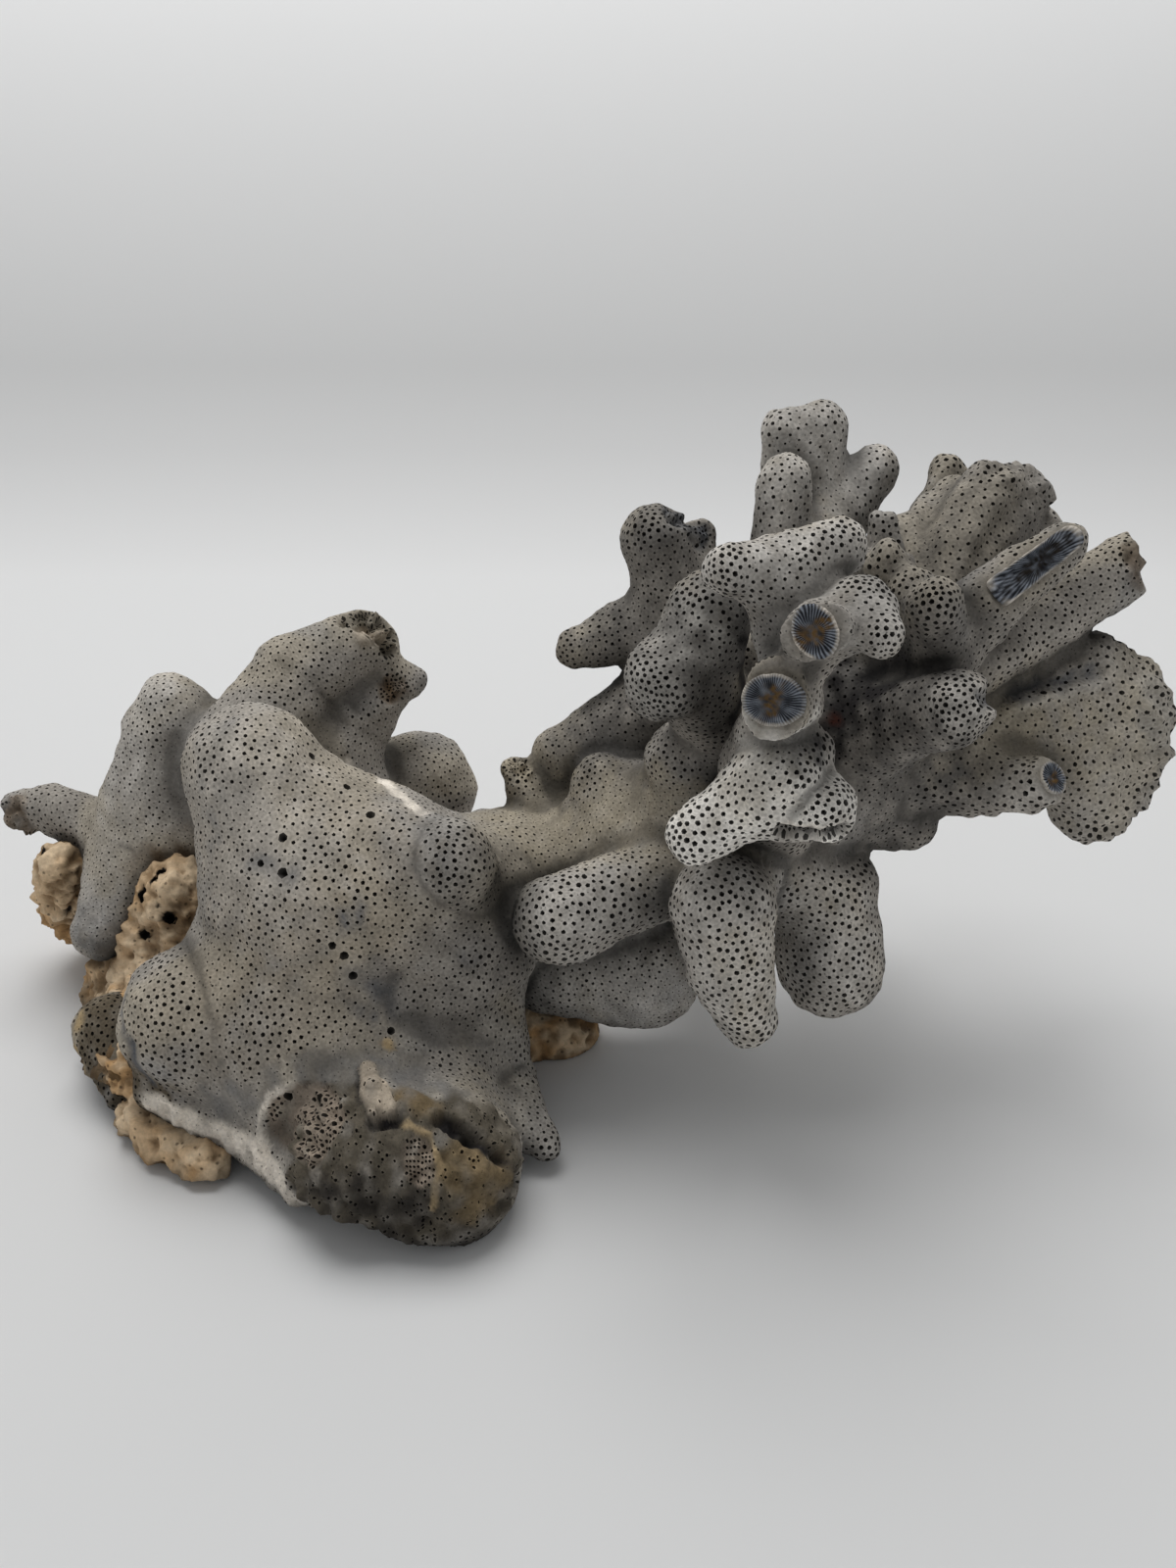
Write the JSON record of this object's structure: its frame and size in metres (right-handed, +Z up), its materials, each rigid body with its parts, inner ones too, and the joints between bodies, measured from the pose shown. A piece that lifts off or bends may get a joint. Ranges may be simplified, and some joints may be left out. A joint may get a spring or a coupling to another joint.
{
  "type": "branching coral",
  "caption": "Grey porous branching coral on dead limestone: a lumpy crust with stout columns, and an arm of blunt fingers and fans; stands on a flat-cut foot as a display specimen.",
  "frame": {"origin": "on the surface it rests on, under the middle of the part's box", "axes": "+Z up, +X from the crust towards the arm's tips, -Y towards the front that the picture shows"},
  "size_m": [0.1863, 0.0978, 0.0965],
  "materials": {
    "coral": "matt grey coral skeleton, pitted all over with small round pores",
    "limestone": "rough tan dead reef limestone, bored and crumbling"
  },
  "bodies": {
    "root": {"mound": "coral", "rear_columns": "coral", "trunk": "coral", "lower_fingers": "coral", "front_prongs": "coral", "front_stalk": "coral", "left_finger": "coral", "left_rear_branch": "coral", "top_branch": "coral", "rear_fan": "coral", "right_fingers": "coral", "right_fan": "coral", "limestone_base": "limestone"}
  },
  "joints": []
}
